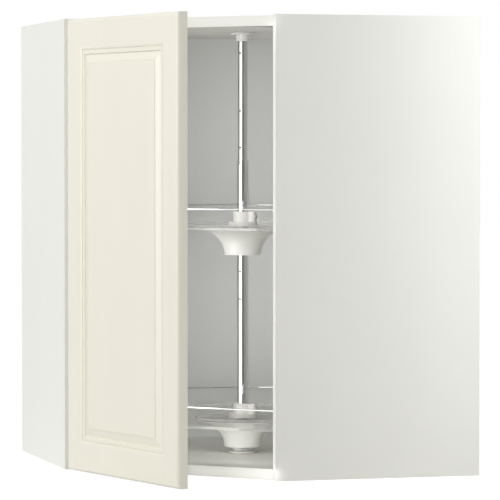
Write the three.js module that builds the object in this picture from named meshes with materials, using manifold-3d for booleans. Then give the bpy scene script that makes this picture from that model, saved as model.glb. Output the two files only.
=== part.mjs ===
// A corner wall cabinet with a diagonal door and a turning pole that carries two D-shaped trays.
// Units are millimetres and +Z is up. The origin is on the pole's axis, at the underside of the bottom
// board. +Y points at the rear wall and +X at the side wall. The door stands open, as it is displayed.

import * as THREE from 'three';
import { mergeVertices } from 'three/addons/utils/BufferGeometryUtils.js';
import Module from 'manifold-3d';

const wasm = await Module();
wasm.setup();

// ---------- driving dimensions ----------

// carcass
const squareSide = 672;            // outer side of the square plan, along each wall
const sideDepth = 370;             // side panel, from the wall to its front edge
const cabinetHeight = 800;
const boardThickness = 18;
const boardReveal = 1.5;           // top and bottom boards stand back from the side panels' ends
const backThickness = 3;
const backRecess = 13;             // from the wall to the outer face of a back
const grooveDepth = 8;
const postSide = 24;               // corner post, square
const postGrooveDepth = 5;
const seatGap = 0.3;               // between pieces that seat on each other
const overshoot = 1;               // of a cut past what it cuts, and of a joined piece into its neighbour

// cams and bolts that join the boards to the side panels
const camRadius = 7.5;
const camDepth = 12.2;
const camSetback = 24;             // from the board's side edge to the middle of a cam
const camFromFront = 60;
const camFromWall = 110;
const camCrossWidth = 2.2;
const camCrossLength = 9;
const camCrossDepth = 1.6;
const boltRadius = 3;
const boltNeckRadius = 1.7;
const boltHeadLength = 3;
const boltInPanel = 10;

// hanging brackets
const hangerWidth = 14;
const hangerDepth = 46;
const hangerHeight = 52;
const hangerDrop = 6;              // below the top board
const hangerPegRadius = 4;
const hangerPegLength = 10;
const hangerPegInset = 12;
const hangerScrewRadius = 3;
const hangerScrewDepth = 6;
const hookThickness = 3;
const hookHeight = 30;
const hookReach = 9;               // behind the outer face of the back
const hookNotchWidth = 3.5;
const hookNotchHeight = 14;
const hookTip = 3;

// door
const doorThickness = 19;
const doorReveal = 15;             // from the door's edge to the outer corner of a side panel
const doorShort = 1.5;             // the door stops short of each end of the side panels
const doorGap = 3.8;               // behind the closed door, to the boards
const doorEdgeRound = 6;
const frameWidth = 51;             // flat frame round the raised panel
const quirkDepth = 1;
const stickingWidth = 6;
const grooveFloorWidth = 7;
const milledDepth = 4.5;
const bevelWidth = 14;
const fieldStep = 0.8;
const doorOpenAtRest = 30;         // degrees
const bumperRadius = 5;
const bumperTipRadius = 4;
const bumperInset = 12;            // from the door's free edge

// hinges, in the closed door's own directions: right from its hinged edge, back from its front face
const hingeFromEnd = 100;
const cupRadius = 17.5;
const cupDepth = 13.9;
const cupWall = 1.8;
const cupEdgeDistance = 5;         // from the door's edge to the cup
const cupFlangeThickness = 1.2;
const cupFlangeHeight = 62;
const cupFlangeWidth = 24;
const cupFlangeCorner = 7;
const cupPegSpacing = 48;
const cupPegRadius = 3.6;
const cupPegLength = 10;
const cupPinRight = 10.9;
const cupPinBack = 10.2;
const cupPinRadius = 1.2;
const armPinRight = -5.3;
const armPinBack = 36.8;
const armPinRadius = 2;
const armPinHead = 0.8;
const armPinHeadRadius = 3;
const linkShare = 0.23;            // share of the door's turn that the link makes
const linkHalfHeight = 5.6;
const linkCupEye = 2.7;
const linkArmEye = 4;
const linkCrookRadius = 15.2;      // clears the door's rear edge, which turns inside the crook
const linkStrap = 3.2;
const linkCrookStart = 18;         // degrees, from the door's own right
const linkCrookEnd = 85;
const linkSideGap = 0.5;
const armWall = 2;
const armHalfHeight = 9.7;
const armLength = 52;              // behind its pin
const armWebStart = 8;             // behind its pin
const plateThickness = 3;
const plateHeight = 52;
const plateWidth = 18;
const plateFromFront = 37;         // from the side panel's front edge to the plate's screws
const plateScrewSpacing = 32;
const ridgeLength = 36;

// small screws, used for the hinge plates and the shelves' collars
const screwRadius = 2;
const screwHeadRadius = 4;
const screwHeadHeight = 1.8;
const screwBite = 11.5;

// pole and bearings
const poleFromFronts = 339;        // the pole's axis, from the fronts of the two squares' sides
const poleRadius = 10.2;
const poleWall = 1.2;
const poleTelescopeGap = 0.4;
const poleLowerLength = 520;
const poleOverlap = 94;
const poleTopGap = 1.2;
const poleHoleRadius = 1.8;
const lowerTubeHoles = [268, 318];         // above the lower tube's foot
const upperTubeHoles = [207, 140.5, 36.2]; // below the upper tube's top
const lockSlotWidth = 1.8;
const lockSlotRun = 2.4;           // sideways
const lockSlotDrop = 8;
const lockSlotBelowTop = 1.6;
const lockSlotLeft = 2.2;          // from the middle of the pole's front to the slot's left side
const lockPinHeadRadius = 1.4;
const lockPinHeadLength = 1;
const spindleHeight = 22;
const baseDiscRadius = 24.7;
const baseDiscThickness = 2.4;
const bearingRingRadius = 22.4;
const bearingRingHeight = 7.2;
const topFlangeRadius = 22;
const topFlangeThickness = 3.5;
const topCollarRadius = 12;
const topCollarLength = 12;
const discPegRadius = 2.5;
const discPegLength = 8;
const discPegDistance = 16;

// shelves
const shelfSpacing = 348;
const hubFootRadius = 33.4;
const hubRimRadius = 87;
const hubRimThickness = 1;
const hubHeight = 49.2;            // the trumpet, up to the tray
const hubWall = 2.5;
const hubSleeveWall = 3;
const trayThickness = 3;
const trayRadius = 290;
const trayFlatDistance = 218;      // from the pole to the tray's straight front
const trayCornerRadius = 10;
const trayRimWidth = 4;
const trayRimHeight = 1.5;         // above the tray's floor
const trayRingInner = 86;
const trayRingWidth = 2;
const trayRingHeight = 1.3;
const collarFlangeRadius = 26.4;
const collarFlangeThickness = 7.5;
const collarRadius = 17.2;
const collarLength = 18.2;         // above its flange
const lugReach = 27;
const lugWidth = 14;
const wireRadius = 1.5;
const wireInset = 4;               // from the tray's edge to the middle of the wire
const wireAboveTray = 33.8;        // middle of the wire above the tray's floor
const socketRadius = 3.6;
const socketHeight = 9;
const wirePostAngles = [-139, -100, -58, 0, 58, 100, 139];   // degrees, from the middle of the round back

// facets
const roundSides = 24;
const smallSides = 8;
const backArcSteps = 34;
const trayCornerSteps = 3;
const trumpetSteps = 6;
const edgeSteps = 3;
const wireSides = 6;
const camSides = 12;

// ---------- places that follow from them ----------

const frontLeg = squareSide - sideDepth;               // plan corner to a side panel's front edge
const openingWidth = frontLeg * Math.SQRT2;            // between the side panels' outer front corners
const panelBottom = -boardReveal;
const panelTop = panelBottom + cabinetHeight;
const topBoardTop = panelTop - boardReveal;
const topBoardUnderside = topBoardTop - boardThickness;
const boardSide = boardThickness + seatGap;            // a board's side edge, inside a side panel
const backInner = squareSide - backRecess - backThickness;
const backOuter = backInner + backThickness;
const postStart = squareSide - postSide;

const doorWidth = openingWidth - 2 * doorReveal;
const doorHeight = cabinetHeight - 2 * doorShort;
const doorBottom = panelBottom + doorShort;
const boardFront = boardThickness / Math.SQRT2;        // the boards' front edge, behind the panels' corners
const doorFront = boardFront - doorGap - doorThickness;
const doorCorner = new THREE.Vector2(-doorWidth / 2, doorFront);
const hingeHeights = [hingeFromEnd, doorHeight - hingeFromEnd];
const cupPinPlace = new THREE.Vector2(cupPinRight, cupPinBack);
const armPinPlace = new THREE.Vector2(armPinRight, armPinBack);
const cupMiddle = cupEdgeDistance + cupRadius;
const armInner = armHalfHeight - armWall;

// the arm's pin in the carcass's plan, where the diagonal is turned by an eighth
const armPinInPlan = armPinPlace.clone().add(doorCorner)
  .rotateAround(new THREE.Vector2(), -Math.PI / 4).addScalar(frontLeg / 2);

const baseDiscBottom = boardThickness + seatGap;
const baseDiscTop = baseDiscBottom + baseDiscThickness;
const bearingBottom = baseDiscTop + seatGap;
const bearingTop = bearingBottom + bearingRingHeight;
const poleFoot = bearingTop + seatGap;
const poleBore = poleRadius - poleWall;
const upperTubeRadius = poleBore - poleTelescopeGap;
const upperTubeBore = upperTubeRadius - poleWall;
const lowerTubeTop = poleFoot + poleLowerLength;
const upperTubeTop = topBoardUnderside - poleTopGap;
const hubBore = poleRadius + seatGap;
const hubBases = { lower: poleFoot, upper: poleFoot + shelfSpacing };
const trayBottom = hubHeight + seatGap;                // these four are above a hub's foot
const trayFloor = trayBottom + trayThickness;
const collarBottom = trayFloor + seatGap;
const collarScrewHeight = collarBottom + collarFlangeThickness + collarLength / 2;

// ---------- solids ----------

// Merges shared corners and drops the triangles that a turned profile leaves on its axis.
function welded(geometry) {
  const bare = geometry.clone();
  bare.deleteAttribute('normal');
  bare.deleteAttribute('uv');
  const merged = mergeVertices(bare, 1e-4);
  const kept = [];
  const corners = merged.index.array;
  for (let i = 0; i < corners.length; i += 3) {
    const [a, b, c] = corners.slice(i, i + 3);
    if (a !== b && b !== c && c !== a) {
      kept.push(a, b, c);
    }
  }
  merged.setIndex(kept);
  return merged;
}

function solid(geometry) {
  const closed = welded(geometry);
  return new wasm.Manifold(new wasm.Mesh({
    numProp: 3,
    vertProperties: new Float32Array(closed.attributes.position.array),
    triVerts: new Uint32Array(closed.index.array),
  }));
}

function geometryOf(manifold) {
  const { vertProperties, triVerts } = manifold.getMesh();
  const geometry = new THREE.BufferGeometry();
  geometry.setAttribute('position', new THREE.BufferAttribute(new Float32Array(vertProperties), 3));
  geometry.setIndex(new THREE.BufferAttribute(new Uint32Array(triVerts), 1));
  return geometry;
}

function join(...geometries) {
  return geometryOf(geometries.map(solid).reduce((whole, next) => whole.add(next)));
}

function cut(geometry, ...tools) {
  return geometryOf(tools.map(solid).reduce((rest, tool) => rest.subtract(tool), solid(geometry)));
}

// A box between two corners.
function box(x0, y0, z0, x1, y1, z1) {
  const geometry = new THREE.BoxGeometry(x1 - x0, y1 - y0, z1 - z0);
  return geometry.translate((x0 + x1) / 2, (y0 + y1) / 2, (z0 + z1) / 2);
}

const outlined = points => new THREE.Shape(points.map(([x, y]) => new THREE.Vector2(x, y)));

// An upright prism over a plan, which is a list of points or a shape.
function prism(plan, z0, z1) {
  const shape = Array.isArray(plan) ? outlined(plan) : plan;
  const settings = { depth: z1 - z0, bevelEnabled: false, curveSegments: smallSides / 2 };
  return new THREE.ExtrudeGeometry(shape, settings).translate(0, 0, z0);
}

// A plate that stands on edge: its outline is in X and Z, its thickness runs from y0 to y1.
function plate(outline, y0, y1) {
  return prism(outline, 0, y1 - y0).rotateX(Math.PI / 2).translate(0, y1, 0);
}

// A piece turned round the Z axis, from a profile of [radius, height] that starts and ends on the axis.
function turned(profile, sides = roundSides) {
  const points = profile.map(([radius, height]) => new THREE.Vector2(radius, height));
  return welded(new THREE.LatheGeometry(points, sides).rotateX(Math.PI / 2));
}

// A turned piece with a bore, whose profile closes on itself.
function turnedRing(profile, sides = roundSides) {
  return turned([...profile, profile[0]], sides);
}

// A round bar along Z.
function bar(radius, z0, z1, sides = smallSides) {
  return turned([[0, z0], [radius, z0], [radius, z1], [0, z1]], sides);
}

// A tube along Z.
function tube(outer, inner, z0, z1) {
  return turnedRing([[inner, z0], [outer, z0], [outer, z1], [inner, z1]]);
}

// Lays a piece made along +Z along +X or +Y.
const alongX = geometry => geometry.rotateY(Math.PI / 2);
const alongY = geometry => geometry.rotateX(-Math.PI / 2);

// Swaps X and Y, which turns a piece of the left side into the right side's.
function toRight(geometry) {
  const swapped = welded(geometry);
  const places = swapped.attributes.position.array;
  const corners = swapped.index.array;
  for (let i = 0; i < places.length; i += 3) {
    [places[i], places[i + 1]] = [places[i + 1], places[i]];
  }
  for (let i = 0; i < corners.length; i += 3) {
    [corners[i], corners[i + 1]] = [corners[i + 1], corners[i]];
  }
  return swapped;
}

// Skins a row of loops with as many points each. They run anticlockwise, seen from the row's far end.
// The row is capped at its ends, where the loops are convex, or closes on itself.
function skin(loops, closed = false) {
  const count = loops[0].length;
  const rows = closed ? loops.length : loops.length - 1;
  const faces = [];
  for (let row = 0; row < rows; row++) {
    const here = row * count;
    const next = ((row + 1) % loops.length) * count;
    for (let i = 0; i < count; i++) {
      const j = (i + 1) % count;
      faces.push(here + i, here + j, next + j, here + i, next + j, next + i);
    }
  }
  if (!closed) {
    const last = rows * count;
    for (let i = 1; i < count - 1; i++) {
      faces.push(0, i + 1, i, last, last + i, last + i + 1);
    }
  }
  const geometry = new THREE.BufferGeometry();
  geometry.setAttribute('position', new THREE.Float32BufferAttribute(loops.flat(2), 3));
  geometry.setIndex(faces);
  return geometry;
}

// ---------- finishes ----------

function finish(color, roughness, metalness = 0, opacity = 1) {
  return new THREE.MeshStandardMaterial({
    color, roughness, metalness, opacity, transparent: opacity < 1, flatShading: true,
  });
}

const finishes = {
  whiteBoard: finish(0xebeee9, 0.45),
  backBoard: finish(0xe4e5e0, 0.6),
  cream: finish(0xece9da, 0.4),
  chrome: finish(0xd8dadc, 0.12, 1),
  steel: finish(0xb9bcbf, 0.35, 1),
  zinc: finish(0x9b9d9f, 0.5, 1),
  whitePlastic: finish(0xeceee9, 0.35),
  clearPlastic: finish(0xdde3df, 0.08, 0, 0.35),
  rubber: finish(0xd9d9d4, 0.7),
};

function place(parent, name, geometry, material) {
  const mesh = new THREE.Mesh(geometry, material);
  mesh.name = name;
  parent.add(mesh);
  return mesh;
}

// The carcass's group has its origin in the plan's front corner, where the two fronts would meet.
const cabinet = new THREE.Group();
cabinet.position.set(-poleFromFronts, -poleFromFronts, 0);

// ---------- fasteners ----------

// A screw whose head bears on the plane z = 0 and whose shank runs down from it.
function screw(length) {
  const edge = screwHeadHeight / 3;
  return turned([
    [0, -length], [screwRadius / 2, -length], [screwRadius, -length + screwRadius], [screwRadius, 0],
    [screwHeadRadius, 0], [screwHeadRadius, screwHeadHeight - edge],
    [screwHeadRadius - edge, screwHeadHeight], [0, screwHeadHeight],
  ], smallSides);
}

// A bolt along +X, from its end in the side panel to its head in the cam.
const camPlace = boardSide + camSetback;
const boltStart = boardThickness - boltInPanel;
const boltEnd = camPlace + boltHeadLength;
const boltNeckStart = camPlace - camRadius - seatGap;

function camBolt() {
  return alongX(turned([
    [0, boltStart], [boltRadius, boltStart], [boltRadius, boltNeckStart], [boltNeckRadius, boltNeckStart],
    [boltNeckRadius, camPlace], [boltRadius, camPlace], [boltRadius, boltEnd], [0, boltEnd],
  ], smallSides));
}

// A cam disc below the plane z = 0. Its jaw holds the bolt's neck, and the head went in from the side.
function camDisc() {
  const jaw = boltNeckRadius + seatGap;
  const mouth = boltRadius + seatGap;
  const bolt = -boardThickness / 2;
  const far = camRadius + overshoot;
  const [halfLength, halfWidth] = [camCrossLength / 2, camCrossWidth / 2];
  return cut(
    bar(camRadius, -camDepth, -seatGap, camSides),
    box(-far, -jaw, bolt - jaw, 0, jaw, bolt + jaw),
    box(-mouth, -far, bolt - mouth, mouth, mouth, bolt + mouth),
    box(-halfLength, -halfWidth, -camCrossDepth, halfLength, halfWidth, overshoot),
    box(-halfWidth, -halfLength, -camCrossDepth, halfWidth, halfLength, overshoot),
  );
}

// The hidden face of a board is its outer one: the bottom board's cams are turned over.
const boards = {
  top: { hiddenFace: topBoardTop, turn: 0, middle: topBoardTop - boardThickness / 2 },
  bottom: { hiddenFace: 0, turn: Math.PI, middle: boardThickness / 2 },
};
const camsAlong = [frontLeg + camFromFront, squareSide - camFromWall];

for (const [board, { hiddenFace, turn, middle }] of Object.entries(boards)) {
  camsAlong.forEach((along, index) => {
    const cam = camDisc().rotateX(turn).translate(camPlace, along, hiddenFace);
    const bolt = camBolt().translate(0, along, middle);
    place(cabinet, `cam_${board}_left_${index + 1}`, cam, finishes.zinc);
    place(cabinet, `cam_${board}_right_${index + 1}`, toRight(cam), finishes.zinc);
    place(cabinet, `bolt_${board}_left_${index + 1}`, bolt, finishes.steel);
    place(cabinet, `bolt_${board}_right_${index + 1}`, toRight(bolt), finishes.steel);
  });
}

// ---------- hanging brackets ----------

const hangerTop = topBoardUnderside - hangerDrop;
const hangerBottom = hangerTop - hangerHeight;
const hangerBack = backInner - seatGap;
const hangerFront = hangerBack - hangerDepth;
const hookMiddle = boardSide + hangerWidth / 2;
const hookBottom = hangerTop - hookHeight;
const hookEnd = backOuter + hookReach;
const hangerPegs = [
  [hangerFront + hangerPegInset, hangerBottom + hangerPegInset],
  [hangerBack - hangerPegInset, hangerTop - hangerPegInset],
];

function hanger() {
  const body = box(boardSide, hangerFront, hangerBottom, boardSide + hangerWidth, hangerBack, hangerTop);
  const hookLeft = hookMiddle - hookThickness / 2;
  const hookRight = hookMiddle + hookThickness / 2;
  const hook = box(hookLeft, hangerBack - overshoot, hookBottom, hookRight, hookEnd, hangerTop);
  const notchEnd = hookEnd - hookTip;
  const notch = box(
    hookLeft - overshoot, notchEnd - hookNotchWidth, hookBottom - overshoot,
    hookRight + overshoot, notchEnd, hookBottom + hookNotchHeight,
  );
  const pegs = hangerPegs.map(([y, z]) => (
    alongX(bar(hangerPegRadius, boardThickness - hangerPegLength, boardSide + overshoot))
      .translate(0, y, z)));
  const screwHoles = [hangerBottom + hangerPegInset, hangerTop - hangerPegInset].map(z => (
    alongY(bar(hangerScrewRadius, -overshoot, hangerScrewDepth)).translate(hookMiddle, hangerFront, z)));
  return cut(join(body, hook, ...pegs), notch, ...screwHoles);
}

place(cabinet, 'hanger_left', hanger(), finishes.whitePlastic);
place(cabinet, 'hanger_right', toRight(hanger()), finishes.whitePlastic);

// ---------- side panels, boards, backs and corner post ----------

const grooveFrom = backInner - seatGap;
const grooveTo = backOuter + seatGap;
const plateScrewY = frontLeg + plateFromFront;
const plateScrewOffsets = [-plateScrewSpacing / 2, plateScrewSpacing / 2];

// A bore in the left panel's inner face.
function panelBore(y, z, radius, depth) {
  return alongX(bar(radius, boardThickness - depth, boardThickness + overshoot)).translate(0, y, z);
}

function sidePanel(extraBores) {
  const bottom = boardThickness - grooveDepth;
  const plan = [
    [0, frontLeg], [boardThickness, frontLeg], [boardThickness, grooveFrom], [bottom, grooveFrom],
    [bottom, grooveTo], [boardThickness, grooveTo], [boardThickness, squareSide], [0, squareSide],
  ];
  const boltBores = Object.values(boards).flatMap(({ middle }) => camsAlong.map(y => (
    panelBore(y, middle, boltRadius + seatGap, boltInPanel + seatGap))));
  const pegBores = hangerPegs.map(([y, z]) => (
    panelBore(y, z, hangerPegRadius + seatGap, hangerPegLength + seatGap)));
  return cut(prism(plan, panelBottom, panelTop), ...boltBores, ...pegBores, ...extraBores);
}

const hingeBores = hingeHeights.flatMap(height => plateScrewOffsets.map(offset => (
  panelBore(plateScrewY, doorBottom + height + offset, screwRadius + seatGap, screwBite + seatGap))));
place(cabinet, 'side_panel_left', sidePanel(hingeBores), finishes.whiteBoard);
place(cabinet, 'side_panel_right', toRight(sidePanel([])), finishes.whiteBoard);

// The pegs of the pole's two bearings, in the carousel's own plan.
const discPegs = [-discPegDistance, discPegDistance];

// A board whose inner face is at the given height. Its body runs from there in the direction `outward`,
// 1 or -1. The backs' grooves and the bearings' pegs are in the inner face, the cams in the outer one.
function board(innerFace, outward) {
  const slab = (from, to) => [innerFace + outward * from, innerFace + outward * to].sort((a, b) => a - b);
  const notch = postStart - seatGap;
  const plan = [
    [boardSide, frontLeg - seatGap], [frontLeg - seatGap, boardSide], [squareSide, boardSide],
    [squareSide, notch], [notch, notch], [notch, squareSide], [boardSide, squareSide],
  ];
  const [grooveLow, grooveHigh] = slab(-overshoot, grooveDepth);
  const groove = box(
    boardSide - overshoot, grooveFrom, grooveLow, squareSide - overshoot, grooveTo, grooveHigh);
  const camBores = slab(boardThickness - camDepth - seatGap, boardThickness + overshoot);
  const middle = innerFace + outward * boardThickness / 2;
  const bores = camsAlong.flatMap(along => [
    bar(camRadius + seatGap, ...camBores, camSides).translate(camPlace, along, 0),
    alongX(bar(boltRadius + seatGap, boardSide - overshoot, camPlace)).translate(0, along, middle),
  ]);
  const pegBores = discPegs.map(x => (
    bar(discPegRadius + seatGap, ...slab(-overshoot, discPegLength + seatGap)).translate(x, 0, 0)
      .rotateZ(-Math.PI / 4).translate(poleFromFronts, poleFromFronts, 0)));
  const leftTools = [groove, ...bores];
  return cut(
    prism(plan, ...slab(0, boardThickness)), ...leftTools, ...leftTools.map(toRight), ...pegBores);
}

const topBoard = board(topBoardUnderside, 1);
const bottomBoard = board(boardThickness, -1);
place(cabinet, 'top_board', topBoard, finishes.whiteBoard);
place(cabinet, 'bottom_board', bottomBoard, finishes.whiteBoard);

function backPanel() {
  const inGroove = grooveDepth - seatGap;
  const sheet = box(
    boardThickness - inGroove, backInner, boardThickness - inGroove,
    postStart + postGrooveDepth - seatGap, backOuter, topBoardUnderside + inGroove,
  );
  const slotHalf = hookThickness / 2 + seatGap;
  const slot = box(
    hookMiddle - slotHalf, backInner - overshoot, hookBottom - seatGap,
    hookMiddle + slotHalf, backOuter + overshoot, hangerTop + seatGap,
  );
  return cut(sheet, slot);
}

place(cabinet, 'back_panel_rear', backPanel(), finishes.backBoard);
place(cabinet, 'back_panel_side', toRight(backPanel()), finishes.backBoard);

function cornerPost() {
  const groove = box(
    postStart - overshoot, grooveFrom, panelBottom - overshoot,
    postStart + postGrooveDepth, grooveTo, panelTop + overshoot,
  );
  const strip = box(postStart, postStart, panelBottom, squareSide, squareSide, panelTop);
  return cut(strip, groove, toRight(groove));
}

place(cabinet, 'corner_post', cornerPost(), finishes.whiteBoard);

// ---------- hinge plates, arms and their pins, on the left panel ----------

const armBase = boardSide + plateThickness + seatGap;      // the arm's edges ride on the plate
const armEye = armPinInPlan.x - armBase;
const armTop = armPinInPlan.x + armEye;
const ridgeTop = armTop - armWall - seatGap;
const ridgeHalfHeight = armInner - seatGap;

// A wide foot for the screws and a ridge for the arm.
function mountingPlate() {
  const halfWidth = plateWidth / 2;
  const halfRidge = ridgeLength / 2;
  const halfHeight = plateHeight / 2;
  const foot = box(boardSide, -halfWidth, -halfHeight, boardSide + plateThickness, halfWidth, halfHeight);
  const ridge = box(boardSide, -halfRidge, -ridgeHalfHeight, ridgeTop, halfRidge, ridgeHalfHeight);
  const holes = plateScrewOffsets.map(z => (
    alongX(bar(screwRadius + seatGap, 0, armBase + overshoot)).translate(0, 0, z)));
  return cut(join(foot, ridge), ...holes);
}

function hingeArm() {
  const { x, y } = armPinInPlan;
  const [openSide, openFront] = [armBase - overshoot, y - armEye - overshoot];
  const plan = new THREE.Shape();
  plan.moveTo(armTop, y + armLength);
  plan.lineTo(armBase, y + armLength);
  plan.absarc(x, y, armEye, Math.PI, 2 * Math.PI, false);
  plan.closePath();
  const inside = box(
    openSide, openFront, -armInner, armTop - armWall, y + armLength + overshoot, armInner);
  const window = box(openSide, openFront, -armInner, armTop + overshoot, y + armWebStart, armInner);
  const pastHalf = armHalfHeight + overshoot;
  const pinHole = bar(armPinRadius + seatGap, -pastHalf, pastHalf).translate(x, y, 0);
  return cut(prism(plan, -armHalfHeight, armHalfHeight), inside, window, pinHole);
}

function headedPin() {
  const neck = armHalfHeight + seatGap;
  const end = neck + armPinHead;
  return turned([
    [0, -end], [armPinHeadRadius, -end], [armPinHeadRadius, -neck], [armPinRadius, -neck],
    [armPinRadius, neck], [armPinHeadRadius, neck], [armPinHeadRadius, end], [0, end],
  ], smallSides).translate(armPinInPlan.x, armPinInPlan.y, 0);
}

const hinges = { lower: doorBottom + hingeHeights[0], upper: doorBottom + hingeHeights[1] };
const plateScrewLength = armBase - boardThickness + screwBite;

for (const [name, height] of Object.entries(hinges)) {
  const plateMesh = place(cabinet, `mounting_plate_${name}`, mountingPlate(), finishes.steel);
  plateMesh.position.set(0, plateScrewY, height);
  place(cabinet, `hinge_arm_${name}`, hingeArm(), finishes.steel).position.z = height;
  place(cabinet, `arm_pin_${name}`, headedPin(), finishes.steel).position.z = height;
  plateScrewOffsets.forEach((offset, index) => {
    const plateScrew = alongX(screw(plateScrewLength));
    const mesh = place(cabinet, `plate_screw_${name}_${index + 1}`, plateScrew, finishes.zinc);
    mesh.position.set(armBase, plateScrewY, height + offset);
  });
}

// ---------- hinge links ----------

// The diagonal's group: X runs along the front from left to right, Y into the cabinet. Each turning
// group inside it has its origin on its pin, and carries pieces in the closed door's own directions.
const diagonal = new THREE.Group();
diagonal.position.set(frontLeg / 2, frontLeg / 2, doorBottom);
diagonal.rotation.z = -Math.PI / 4;
cabinet.add(diagonal);

const linkGroup = new THREE.Group();
linkGroup.name = 'link_group';
linkGroup.position.set(doorCorner.x + armPinRight, doorCorner.y + armPinBack, 0);
linkGroup.rotation.z = -THREE.MathUtils.degToRad(doorOpenAtRest * linkShare);
diagonal.add(linkGroup);

const doorGroup = new THREE.Group();
doorGroup.name = 'door_group';
doorGroup.position.set(cupPinRight - armPinRight, cupPinBack - armPinBack, 0);
doorGroup.rotation.z = -THREE.MathUtils.degToRad(doorOpenAtRest * (1 - linkShare));
linkGroup.add(doorGroup);

// A flat strap between two points of the plan.
function strap(from, to) {
  const side = to.clone().sub(from).setLength(linkStrap / 2).rotateAround(new THREE.Vector2(), Math.PI / 2);
  const ends = [from.clone().sub(side), to.clone().sub(side), to.clone().add(side), from.clone().add(side)];
  return prism(ends.map(({ x, y }) => [x, y]), -linkHalfHeight, linkHalfHeight);
}

function hingeLink() {
  const start = THREE.MathUtils.degToRad(linkCrookStart);
  const end = THREE.MathUtils.degToRad(linkCrookEnd);
  const outer = linkCrookRadius + linkStrap;
  const onCrook = (radius, angle) => (
    new THREE.Vector2(radius, 0).rotateAround(new THREE.Vector2(), angle).add(cupPinPlace));
  const crook = new THREE.Shape();
  crook.absarc(cupPinPlace.x, cupPinPlace.y, outer, start, end, false);
  crook.absarc(cupPinPlace.x, cupPinPlace.y, linkCrookRadius, end, start, true);
  const armEyeHalf = armInner - linkSideGap;
  const body = join(
    prism(crook, -linkHalfHeight, linkHalfHeight),
    strap(cupPinPlace, onCrook(outer, start)),
    strap(onCrook(linkCrookRadius + linkStrap / 2, end), armPinPlace),
    bar(linkCupEye, -linkHalfHeight, linkHalfHeight).translate(cupPinPlace.x, cupPinPlace.y, 0),
    bar(linkArmEye, -armEyeHalf, armEyeHalf).translate(armPinPlace.x, armPinPlace.y, 0),
  );
  return cut(
    body,
    bar(cupPinRadius + seatGap, -armHalfHeight, armHalfHeight).translate(cupPinPlace.x, cupPinPlace.y, 0),
    bar(armPinRadius + seatGap, -armHalfHeight, armHalfHeight).translate(armPinPlace.x, armPinPlace.y, 0),
  );
}

['lower', 'upper'].forEach((name, index) => {
  const link = place(linkGroup, `hinge_link_${name}`, hingeLink(), finishes.steel);
  link.position.set(-armPinRight, -armPinBack, hingeHeights[index]);
});

// ---------- door ----------

// A rectangle round the door's front, at an inset from its edges and a depth behind its front face.
function doorLoop(inset, depth) {
  const right = doorWidth - inset;
  const top = doorHeight - inset;
  return [[inset, depth, inset], [right, depth, inset], [right, depth, top], [inset, depth, top]];
}

// Insets and depths from the back of the door, round its edge, over the frame and up to the field.
function doorProfile() {
  const rows = [[0, doorThickness]];
  for (let step = 0; step <= edgeSteps; step++) {
    const angle = (step / edgeSteps) * Math.PI / 2;
    rows.push([doorEdgeRound * (1 - Math.cos(angle)), doorEdgeRound * (1 - Math.sin(angle))]);
  }
  rows.push([frameWidth, 0]);
  for (let step = 0; step <= edgeSteps; step++) {
    const angle = (step / edgeSteps) * Math.PI / 2;
    const drop = (milledDepth - quirkDepth) * (1 - Math.cos(angle));
    rows.push([frameWidth + stickingWidth * Math.sin(angle), quirkDepth + drop]);
  }
  const bevelStart = frameWidth + stickingWidth + grooveFloorWidth;
  const bevelEnd = bevelStart + bevelWidth;
  rows.push([bevelStart, milledDepth], [bevelEnd, fieldStep], [bevelEnd, 0]);
  return rows;
}

const cupBottom = doorThickness + seatGap - cupDepth;

function doorLeaf() {
  const leaf = skin(doorProfile().map(([inset, depth]) => doorLoop(inset, depth)));
  const bores = hingeHeights.flatMap(z => [
    alongY(bar(cupRadius + seatGap, cupBottom - seatGap, doorThickness + overshoot, roundSides))
      .translate(cupMiddle, 0, z),
    ...[-1, 1].map(side => (
      alongY(bar(cupPegRadius + seatGap, doorThickness - cupPegLength - seatGap, doorThickness + overshoot))
        .translate(cupMiddle, 0, z + side * cupPegSpacing / 2))),
  ]);
  return cut(leaf, ...bores);
}

// A bowl with a flange on the door's back and two pegs that knock into it.
function hingeCup() {
  const flangeFront = doorThickness + seatGap;
  const flangeBack = flangeFront + cupFlangeThickness;
  const inner = cupRadius - cupWall;
  const bowl = alongY(turned([
    [0, cupBottom], [cupRadius, cupBottom], [cupRadius, flangeBack], [inner, flangeBack],
    [inner, cupBottom + cupWall], [0, cupBottom + cupWall],
  ]));
  const [x, y, r] = [cupFlangeWidth / 2, cupFlangeHeight / 2, cupFlangeCorner];
  const outline = new THREE.Shape();
  outline.absarc(x - r, y - r, r, 0, Math.PI / 2, false);
  outline.absarc(r - x, y - r, r, Math.PI / 2, Math.PI, false);
  outline.absarc(r - x, r - y, r, Math.PI, Math.PI * 1.5, false);
  outline.absarc(x - r, r - y, r, Math.PI * 1.5, Math.PI * 2, false);
  const flange = plate(outline, flangeFront, flangeBack);
  const mouth = alongY(bar(inner, flangeFront - overshoot, flangeBack + overshoot, roundSides));
  const pegs = [-1, 1].map(side => (
    alongY(bar(cupPegRadius, doorThickness - cupPegLength, flangeBack))
      .translate(0, 0, side * cupPegSpacing / 2)));
  const pinHole = bar(cupPinRadius + seatGap, -cupRadius, cupRadius)
    .translate(cupPinRight - cupMiddle, cupPinBack, 0);
  return cut(join(bowl, cut(flange, mouth), ...pegs), pinHole);
}

function cupPinBar() {
  const outermost = cupMiddle - cupPinRight + cupPinRadius;
  const halfLength = Math.sqrt((cupRadius - seatGap) ** 2 - outermost ** 2);
  return bar(cupPinRadius, -halfLength, halfLength);
}

// The door's own frame, from the pin to the leaf's lower left front corner.
const leafGroup = new THREE.Group();
leafGroup.position.set(-cupPinRight, -cupPinBack, 0);
doorGroup.add(leafGroup);

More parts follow.
